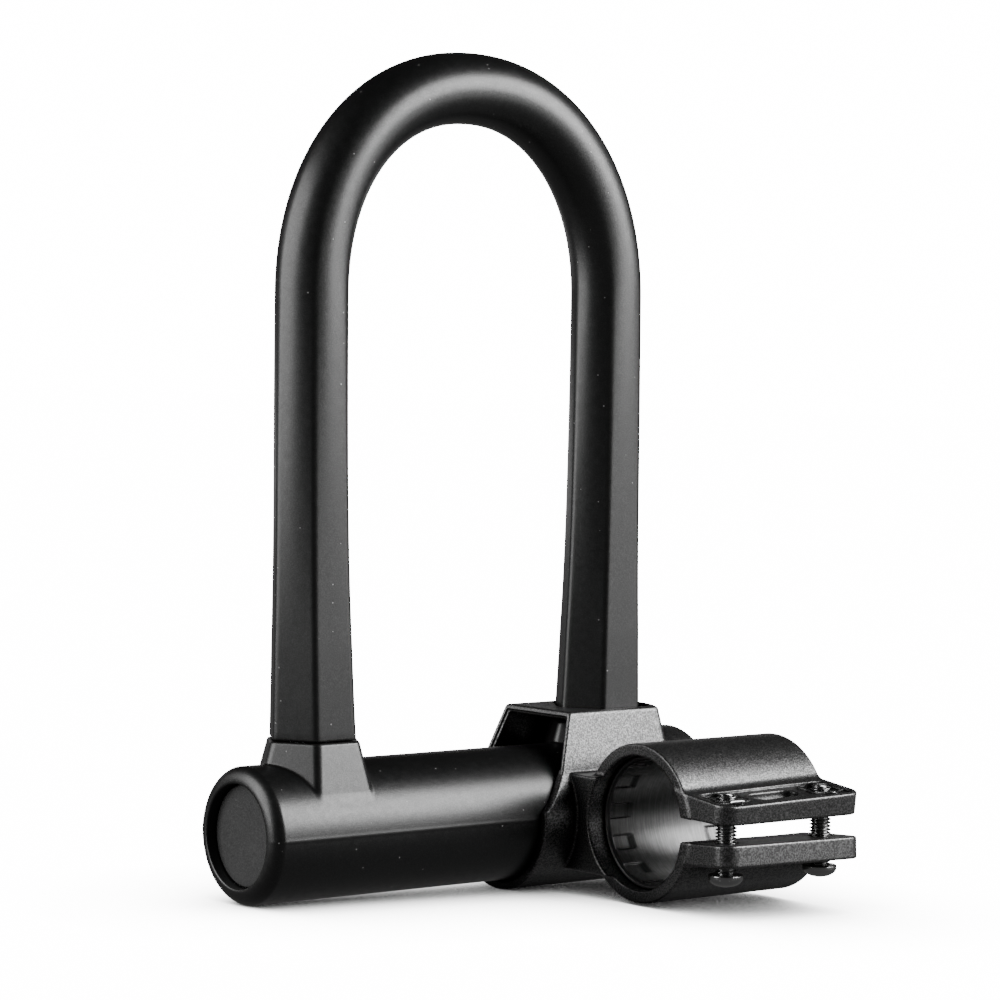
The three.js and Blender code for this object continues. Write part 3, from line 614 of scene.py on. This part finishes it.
UPPER_EAR_Z, UPPER_EAR_FALL, UPPER_EAR_TWIST = 12.9, 0.125, 0.018
UPPER_EAR_UNDER, UPPER_EAR_UNDER_RISE = 4.9, 0.04
LOWER_EAR_Z, LOWER_EAR_RISE, LOWER_EAR_TWIST = -2.5, 0.05, 0.017
LOWER_EAR_THICK = 6.8
EAR_MIDDLE = (RING_LEFT + RING_RIGHT) / 2
SCREW_LEFT, SCREW_RIGHT = node_middle("left_clamp_screw"), node_middle("right_clamp_screw")
SCREW_HOLE_R, SCREW_HOLE_LOW, SCREW_HOLE_HIGH = 3.5, -12.0, 20.0
NUT_FLOOR = node_box("left_clamp_nut")[0].z
NUT_POCKET_APOTHEM, NUT_POCKET_SPARE = 5.5, 0.3
LIP_WIDE, LIP_DEEP = 1.7, 0.9
PAN_BACK = -72.3
BOAT_HALF_LONG, BOAT_HALF_WIDE, BOAT_DEEP = 8.8, 3.4, 3.6
BOAT_BACK, BOAT_HALF_FLOOR = 0.3, 0.6
PETAL_R, PETAL_WAVE, PETAL_THICK, PETAL_RISE = 6.9, 1.5, 0.45, 1.6
PETAL_COLUMNS, PETAL_AROUND = 120, 8
WEB_LEFT, WEB_RIGHT, WEB_LOW = 28.0, 82.0, -16.0
# The mouth's edge runs through these points; its field is scaled down because it slopes.
MOUTH_Z = (-30.0, 2.1, 5.1, CREASE_Z, HOOD_TOP + 10)
MOUTH_X = (SADDLE_LEFT, SADDLE_LEFT, 18.6, 25.15, 34.7)
MOUTH_SCALE = 0.9
HOOD_FOOT = 8.0
HOOD_EDGE_R, HOOD_INNER_EDGE_R = 1.0, 0.5
HOOD_END_REACH = 1.2          # how far out the end wall's curve is followed, in half widths
SADDLE_EDGE_R, WEB_EDGE_R, RING_EDGE_R, EAR_EDGE_R, MOUTH_EDGE_R = 0.6, 0.5, 0.5, 0.6, 0.5
HOOD_ROOT_R, WEB_ROOT_R, RING_ROOT_R, EAR_ROOT_R = 0.4, 0.6, 1.6, 1.2
BORE_EDGE_R, INSIDE_EDGE_R, REBATE_EDGE_R = 0.5, 0.4, 0.2
OPENING_EDGE_R, GAP_EDGE_R, POCKET_EDGE_R = 0.3, 0.5, 0.2
BRACKET_CELL = 0.42


def hood_walls(x, y, drop, inset, edge):
    """The hood's side and end walls, drop below its top."""
    half = HOOD_HALF + HOOD_SLOPE * drop - inset + np.where(y > 0, HOOD_BACK_EXTRA, 0)
    corner = HOOD_CORNER + HOOD_CORNER_LEAN * drop - inset / 2
    bulge = HOOD_END + HOOD_END_LEAN * drop - inset - corner
    side = (np.abs(y) - half) * math.cos(math.atan(HOOD_SLOPE))
    share = np.clip(y / half, -HOOD_END_REACH, HOOD_END_REACH)
    end = (x - corner - bulge * (1 - share * share)) / np.sqrt(1 + (2 * bulge * share / half) ** 2)
    return rounded_and(side, end, edge)


def hood_field(x, y, z, inset):
    """The hood as a solid block, or the hollow that lies inset from its faces."""
    edge = HOOD_EDGE_R if inset == 0 else HOOD_INNER_EDGE_R
    return rounded_and(z - HOOD_TOP + inset, hood_walls(x, y, HOOD_TOP - z, inset, edge), edge)


def ear_field(x, y, z, top, under, slope):
    """A clamping plate whose edges stand square to its sloping top."""
    forward = y + slope * (z - top)
    outline = rounded_and(between(x, RING_LEFT, RING_RIGHT), EAR_FRONT - forward, EAR_CORNER_R)
    outline = np.maximum(outline, y - RING_Y + RING_BORE_R / 2)
    return rounded_and(outline, np.maximum(z - top, under - z), EAR_EDGE_R)


def upper_ear_top(x, y):
    return UPPER_EAR_Z + UPPER_EAR_FALL * (y - EAR_DATUM_Y) + UPPER_EAR_TWIST * (x - EAR_MIDDLE)


def upper_ear_under(y):
    return UPPER_EAR_UNDER + UPPER_EAR_UNDER_RISE * (y - EAR_DATUM_Y)


def lower_ear_top(x, y):
    return LOWER_EAR_Z - LOWER_EAR_RISE * (y - EAR_DATUM_Y) - LOWER_EAR_TWIST * (x - EAR_MIDDLE)


def bracket_field(x, y, z):
    body = rounded_and(tube(y, z, 0, 0, SADDLE_R), between(x, SADDLE_LEFT, SADDLE_RIGHT), SADDLE_EDGE_R)
    body = rounded_or(body, np.maximum(hood_field(x, y, z, 0), HOOD_FOOT - z), HOOD_ROOT_R)
    web = np.maximum(between(x, WEB_LEFT, WEB_RIGHT), between(y, RING_Y, 0))
    web = rounded_and(web, between(z, WEB_LOW, CREASE_Z), WEB_EDGE_R)
    body = rounded_or(body, web, WEB_ROOT_R)
    ring = rounded_and(tube(y, z, RING_Y, RING_Z, RING_R), between(x, RING_LEFT, RING_RIGHT), RING_EDGE_R)
    body = rounded_or(body, ring, RING_ROOT_R)
    upper = ear_field(x, y, z, upper_ear_top(x, y), upper_ear_under(y), UPPER_EAR_FALL)
    gap_floor = lower_ear_top(x, y)
    lower = ear_field(x, y, z, gap_floor, gap_floor - LOWER_EAR_THICK, -LOWER_EAR_RISE)
    body = rounded_or(body, np.minimum(upper, lower), EAR_ROOT_R)

    mouth = np.interp(z, MOUTH_Z, MOUTH_X) - x
    body = rounded_and(body, mouth * MOUTH_SCALE, MOUTH_EDGE_R)
    body = minus(body, tube(y, z, RING_Y, RING_Z, RING_BORE_R), BORE_EDGE_R)
    inside = np.minimum(tube(y, z, 0, 0, SADDLE_BORE_R), np.maximum(hood_field(x, y, z, WALL), -z))
    body = minus(body, inside, INSIDE_EDGE_R)
    rebate = np.maximum(hood_field(x, y, z, MOUTH_REBATE_WIDE), CREASE_Z + OVERLAP - z)
    body = minus(body, np.maximum(rebate, -mouth - MOUTH_REBATE_DEEP), REBATE_EDGE_R)

    past_leg = np.maximum(LEG_OPENING_X - x, hood_walls(x, y, 0, WALL, HOOD_INNER_EDGE_R))
    opening = np.minimum(hexagon(x - LEG_OPENING_X, y, LEG_OPENING_APOTHEM, math.pi / 6), past_leg)
    body = minus(body, np.maximum(opening, HOOD_TOP - WALL - OVERLAP - z), OPENING_EDGE_R)

    gap = np.maximum(y - RING_Y + RING_BORE_R / 2, np.maximum(gap_floor - z, z - upper_ear_under(y)))
    body = minus(body, gap, GAP_EDGE_R)
    pan = rounded_and(between(x, RING_LEFT + LIP_WIDE, RING_RIGHT - LIP_WIDE),
                      np.maximum(EAR_FRONT + LIP_WIDE - y, y - PAN_BACK), EAR_CORNER_R - LIP_WIDE)
    pan_floor = upper_ear_top(x, y) - LIP_DEEP
    pan = np.maximum(pan, pan_floor - z)
    boat_x = np.maximum(np.abs(x - (SCREW_LEFT.x + SCREW_RIGHT.x) / 2) - BOAT_HALF_LONG + BOAT_HALF_WIDE, 0)
    boat = np.hypot(boat_x, y - SCREW_LEFT.y - BOAT_BACK) - BOAT_HALF_WIDE
    boat = rounded_and(boat, pan_floor - BOAT_DEEP - z, BOAT_HALF_WIDE - BOAT_HALF_FLOOR)
    cuts = np.minimum(pan, boat)
    for screw in (SCREW_LEFT, SCREW_RIGHT):
        pocket = hexagon(x - screw.x, y - screw.y, NUT_POCKET_APOTHEM)
        pocket = np.maximum(pocket, NUT_FLOOR - NUT_POCKET_SPARE - z)
        hole = tube(x, y, screw.x, screw.y, SCREW_HOLE_R)
        hole = np.maximum(hole, between(z, SCREW_HOLE_LOW, SCREW_HOLE_HIGH))
        cuts = np.minimum(cuts, np.minimum(pocket, hole))
    return minus(body, cuts, POCKET_EDGE_R)


bracket = skin("bracket_shell", bracket_field, bracket_low, bracket_high, spacing(BRACKET_CELL))
dress(bracket, "nylon", "bracket", ["bracket_body"])


def petal_rows(centre):
    """A raised star-shaped ridge that stands on the pan round a nut pocket."""
    rows = []
    for n in range(PETAL_COLUMNS):
        turn = 2 * math.pi * n / PETAL_COLUMNS
        star = PETAL_R - PETAL_WAVE * abs(math.sin(3 * (turn - math.pi / 2)))
        row = []
        for i in range(PETAL_AROUND):
            side = 2 * math.pi * i / PETAL_AROUND
            reach = star + PETAL_THICK * math.cos(side)
            x, y = centre.x + reach * math.cos(turn), centre.y + reach * math.sin(turn)
            row.append((x, y, upper_ear_top(x, y) - LIP_DEEP + PETAL_RISE * PETAL_THICK * math.sin(side)))
        rows.append(row)
    return rows


for side, centre in (("left", SCREW_LEFT), ("right", SCREW_RIGHT)):
    petal = net(f"{side}_nut_ridge", petal_rows(centre), closed_rows=True)
    dress(petal, "nylon", "bracket", ["bracket_body"])

# ------------------------------------------------------------------------------------------------
# Liner in the clamp ring
# ------------------------------------------------------------------------------------------------

liner_low, liner_high = node_box("clamp_liner")
LINER_R, LINER_BORE_R = 19.9, 18.6
SLOTS, SLOT_LONG, SLOT_WIDE, SLOT_DEEP = 12, 9.5, 4.8, 0.45
SLOT_TURN = math.radians(4)
SLOT_RAMP = 2.2
SLOT_FROM_LIP = 0.6
LINER_LIP_LONG, LINER_LIP_DEEP = 0.8, 0.35
LINER_GAP_LOW, LINER_GAP_HIGH = -4.2, 5.4
LINER_EDGE_R, LINER_CUT_EDGE_R, LINER_GAP_EDGE_R = 0.25, 0.1, 0.3
LINER_CELL = 0.36


def liner_field(x, y, z):
    py, pz = y - RING_Y, z - RING_Z
    radius = np.hypot(py, pz)
    wall = rounded_and(np.maximum(radius - LINER_R, LINER_BORE_R - radius),
                       between(x, liner_low.x, liner_high.x), LINER_EDGE_R)
    from_end = np.minimum(x - liner_low.x, liner_high.x - x)
    step = 2 * math.pi / SLOTS
    # The first slot lies SLOT_TURN from +Z, turning about +X.
    turn = np.arctan2(-py, pz) - SLOT_TURN + step / 2
    off = (np.mod(turn, step) - step / 2) * LINER_R
    along = between(from_end, LINER_LIP_LONG + SLOT_FROM_LIP, SLOT_LONG)
    slot = np.maximum(np.abs(off) - SLOT_WIDE / 2, along)
    depth = SLOT_DEEP * np.clip((SLOT_LONG - from_end) / SLOT_RAMP, 0, 1)
    wall = minus(wall, np.maximum(slot, radius - LINER_BORE_R - depth), LINER_CUT_EDGE_R)
    lip = np.maximum(from_end - LINER_LIP_LONG, radius - LINER_BORE_R - LINER_LIP_DEEP)
    wall = minus(wall, lip, LINER_CUT_EDGE_R)
    return minus(wall, np.maximum(between(pz, LINER_GAP_LOW, LINER_GAP_HIGH), py), LINER_GAP_EDGE_R)


liner = skin("liner_skin", liner_field, liner_low, liner_high, spacing(LINER_CELL))
dress(liner, "liner_plastic", "bracket", ["clamp_liner"])

# ------------------------------------------------------------------------------------------------
# Screws and nuts
# ------------------------------------------------------------------------------------------------

SCREW_R, THREAD_DEEP, THREAD_PITCH = 3.25, 0.75, 1.05
THREAD_COLUMNS, THREAD_ROWS = 40, 12    # round the screw, and in each pitch
THREAD_SUNK = 0.2
RIDGE_NARROW, CREST_FLAT = 2.6, 1.25
TIP_LONG, TIP_DEEP = 0.8, 0.6
HEAD_TOP, HEAD_R, HEAD_HEIGHT = -11.2, 5.15, 3.8
HEAD_RIM, HEAD_EDGE_R = 1.0, 0.3
DOME_SCALE = 3.0              # brings the dome's field close to millimetres
RECESS_ARM, RECESS_HALF, RECESS_DEEP, RECESS_EDGE_R = 2.6, 0.55, 2.0, 0.15
NUT_AF, NUT_BORE_R = 10.0, 3.05
NUT_EDGE_R, NUT_BORE_EDGE_R = 0.15, 0.2
CHAMFER_SPARE, CHAMFER_SLOPE, CHAMFER_SCALE = 0.2, 1.7, 0.5
SCREW_CELL = 0.22


def screw_rows(centre, top):
    """The threaded shank, from just inside its head up to the tip."""
    rows = []
    count = int((top - HEAD_TOP) / THREAD_PITCH * THREAD_ROWS)
    for i in range(count + 1):
        z = HEAD_TOP - THREAD_SUNK + (top - HEAD_TOP + THREAD_SUNK) * i / count
        tip = min(1.0, (top - z) / TIP_LONG)
        row = []
        for n in range(THREAD_COLUMNS):
            angle = 2 * math.pi * n / THREAD_COLUMNS
            phase = (z / THREAD_PITCH - n / THREAD_COLUMNS) % 1.0
            ridge = max(0.0, 1 - abs(phase - 0.5) * RIDGE_NARROW)
            r = SCREW_R - THREAD_DEEP * (1 - min(ridge * CREST_FLAT, 1.0)) - TIP_DEEP * (1 - tip)
            row.append((centre.x + r * math.cos(angle), centre.y + r * math.sin(angle), z))
        rows.append(row)
    return rows


def head_field(centre):
    """The field of a domed head with a cross recess, hanging down from HEAD_TOP."""
    def field(x, y, z):
        px, py = x - centre.x, y - centre.y
        below = HEAD_TOP - z
        sunk = np.maximum(below - HEAD_RIM, 0) / (HEAD_HEIGHT - HEAD_RIM)
        dome = np.sqrt((np.hypot(px, py) / HEAD_R) ** 2 + sunk ** 2)
        head = rounded_and((dome - 1) * DOME_SCALE, -below, HEAD_EDGE_R)
        cross = np.minimum(np.maximum(np.abs(px) - RECESS_ARM, np.abs(py) - RECESS_HALF),
                           np.maximum(np.abs(px) - RECESS_HALF, np.abs(py) - RECESS_ARM))
        return minus(head, np.maximum(cross, HEAD_HEIGHT - RECESS_DEEP - below), RECESS_EDGE_R)
    return field


def nut_field(centre, low, high):
    """The field of a hexagonal nut between two heights, chamfered at both faces."""
    def field(x, y, z):
        px, py = x - centre.x, y - centre.y
        radius = np.hypot(px, py)
        nut = rounded_and(hexagon(px, py, NUT_AF / 2, math.pi / 6), between(z, low, high), NUT_EDGE_R)
        past_face = np.abs(z - (low + high) / 2) - (high - low) / 2
        chamfer = (radius - NUT_AF / 2 - CHAMFER_SPARE + past_face * CHAMFER_SLOPE) * CHAMFER_SCALE
        return minus(np.maximum(nut, chamfer), radius - NUT_BORE_R, NUT_BORE_EDGE_R)
    return field


for side, centre in (("left", SCREW_LEFT), ("right", SCREW_RIGHT)):
    top = node_box(f"{side}_clamp_screw")[1].z
    thread = net(f"{side}_screw_thread", screw_rows(centre, top))
    reach = Vector((HEAD_R, HEAD_R, 0))
    low = Vector((centre.x, centre.y, HEAD_TOP - HEAD_HEIGHT)) - reach
    high = Vector((centre.x, centre.y, HEAD_TOP)) + reach
    head = skin(f"{side}_screw_head", head_field(centre), low, high, spacing(SCREW_CELL))
    dress(thread, "black_steel", f"{side}_screw", [f"{side}_clamp_screw"])
    dress(head, "black_steel", f"{side}_screw", [f"{side}_clamp_screw"])
    low, high = node_box(f"{side}_clamp_nut")
    nut = skin(f"{side}_nut", nut_field(centre, low.z, high.z), low, high, spacing(SCREW_CELL))
    dress(nut, "black_steel", "bracket", [f"{side}_clamp_nut"])

# ------------------------------------------------------------------------------------------------
# Carried-over CAD pieces
# ------------------------------------------------------------------------------------------------

CARRIED = {
    "crossbar_tube": "hardened_steel",
    "keyway_bezel": "disc_plastic",
    "left_leg_socket": "zinc",
    "right_leg_socket": "zinc",
    "left_cam_bearing": "zinc",
    "right_cam_bearing": "zinc",
    "cylinder_housing": "zinc",
    "left_socket_pin": "hardened_steel",
    "right_socket_pin": "hardened_steel",
    "housing_pin": "hardened_steel",
    "end_plug_pin": "hardened_steel",
    "dust_cover_rivet": "hardened_steel",
    "shackle_bar": "hardened_steel",
    "cylinder_plug": "brass",
    "sidebar": "brass",
    "drive_spindle": "hardened_steel",
    "left_bolt": "hardened_steel",
    "right_bolt": "hardened_steel",
    "dust_cover": "disc_plastic",
}
for number in range(1, 6):
    CARRIED[f"detainer_disc_{number}"] = "brass"
for name, slot in CARRIED.items():
    dress(smooth_cad(name), slot)

# ------------------------------------------------------------------------------------------------
# Stage: camera, floor and light
# ------------------------------------------------------------------------------------------------

CAMERA_AT = Vector((-690.0, -899.6, 149.3)) * MM + MIDDLE
CAMERA_TURN = math.radians(-38.085)
CAMERA_LIFT = math.radians(2.662)
CAMERA_ROLL = math.radians(0.658)
SENSOR, LENS = 36.0, 134.84
CLIP_END = 200.0

back = Vector((math.sin(CAMERA_TURN) * math.cos(CAMERA_LIFT),
               -math.cos(CAMERA_TURN) * math.cos(CAMERA_LIFT), math.sin(CAMERA_LIFT)))
level = Vector((math.cos(CAMERA_TURN), math.sin(CAMERA_TURN), 0))
upright = back.cross(level)
right = math.cos(CAMERA_ROLL) * level + math.sin(CAMERA_ROLL) * upright
up = math.cos(CAMERA_ROLL) * upright - math.sin(CAMERA_ROLL) * level
camera_data = bpy.data.cameras.new("camera")
camera_data.sensor_width, camera_data.lens = SENSOR, LENS
camera_data.clip_end = CLIP_END
camera = bpy.data.objects.new("camera", camera_data)
camera.matrix_world = Matrix.Translation(CAMERA_AT) @ Matrix((right, up, back)).transposed().to_4x4()
bpy.context.scene.collection.objects.link(camera)
bpy.context.scene.camera = camera

FLOOR_TILT = math.atan(0.0299)    # the lock rests on the bracket's saddle and its own left rim
FLOOR_TOUCH = Vector((-78.0, 0, -SLEEVE_R)) * MM + MIDDLE
FLOOR_HALF = 60.0
floor_mesh = bpy.data.meshes.new("floor")
floor_mesh.from_pydata(
    [(-FLOOR_HALF, -FLOOR_HALF, 0), (FLOOR_HALF, -FLOOR_HALF, 0),
     (FLOOR_HALF, FLOOR_HALF, 0), (-FLOOR_HALF, FLOOR_HALF, 0)], [], [(0, 1, 2, 3)])
floor = bpy.data.objects.new("floor", floor_mesh)
floor.matrix_world = Matrix.Translation(FLOOR_TOUCH) @ Matrix.Rotation(FLOOR_TILT, 4, "Y")
bpy.context.scene.collection.objects.link(floor)

WHITE_LEVEL = 16.0            # bright enough to read as white paper
FLOOR_BOUNCE = 0.15           # what the object itself sees of the floor
WORLD_LIGHT = 0.02            # what it sees of everything else
SHADOW_REACH, SHADOW_DEPTH = 0.07, 2.0
SHADOW_SAMPLES = 8
PAPER_GRAIN, PAPER_DETAIL = 900.0, 2.0
PAPER_DARK, PAPER_LIGHT = grey(0.97), grey(1.0)

floor_material = bpy.data.materials.new("floor_paper")
floor_material.use_nodes = True
paper = Nodes(floor_material.node_tree)
seen = paper.add("ShaderNodeLightPath").outputs["Is Camera Ray"]
grainy = paper.add("ShaderNodeTexNoise", Scale=PAPER_GRAIN, Detail=PAPER_DETAIL).outputs["Fac"]
pale = paper.mix(grainy, PAPER_DARK, PAPER_LIGHT)
# Painted shadow: the floor glows rather than being lit, and ambient occlusion darkens that glow under and
# around the lock.
open_sky = paper.add("ShaderNodeAmbientOcclusion", {"samples": SHADOW_SAMPLES}, Distance=SHADOW_REACH)
shaded = paper.math("MULTIPLY", paper.math("POWER", open_sky.outputs["AO"], SHADOW_DEPTH), WHITE_LEVEL)
glow = paper.math("ADD", paper.math("MULTIPLY", seen, shaded),
                  paper.math("MULTIPLY", paper.math("SUBTRACT", 1.0, seen), FLOOR_BOUNCE))
lit = paper.add("ShaderNodeEmission", Color=pale, Strength=glow)
paper.put(floor_material.node_tree.nodes["Material Output"].inputs["Surface"], lit.outputs[0])
floor_mesh.materials.append(floor_material)

world = bpy.data.worlds.new("studio")
world.use_nodes = True
bpy.context.scene.world = world
sky = Nodes(world.node_tree)
direct = sky.add("ShaderNodeLightPath").outputs["Is Camera Ray"]
background = world.node_tree.nodes["Background"]
sky.put(background.inputs["Color"], grey(1.0))
sky.put(background.inputs["Strength"], sky.ramp(direct, 0.0, 1.0, WORLD_LIGHT, WHITE_LEVEL))


def softbox(name, at, aim, width, height, power):
    """A rectangular light, placed and aimed in millimetres."""
    data = bpy.data.lights.new(name, "AREA")
    data.shape, data.size, data.size_y, data.energy = "RECTANGLE", width * MM, height * MM, power
    obj = bpy.data.objects.new(name, data)
    start, end = Vector(at) * MM + MIDDLE, Vector(aim) * MM + MIDDLE
    turn = (end - start).to_track_quat("-Z", "Y").to_matrix().to_4x4()
    obj.matrix_world = Matrix.Translation(start) @ turn
    bpy.context.scene.collection.objects.link(obj)
    obj.visible_camera = False


softbox("key", (452, -496, 392), (0, 0, 60), 560, 400, 13.5)
softbox("fill", (430, -520, 50), (0, 0, 50), 640, 120, 0.65)
softbox("side", (-611, 222, 310), (0, 0, 100), 560, 600, 6.8)
softbox("backdrop", (370, 472, 100), (0, 0, 30), 900, 80, 0.15)
softbox("rim", (-400, 575, 260), (0, 0, 60), 300, 300, 0.28)
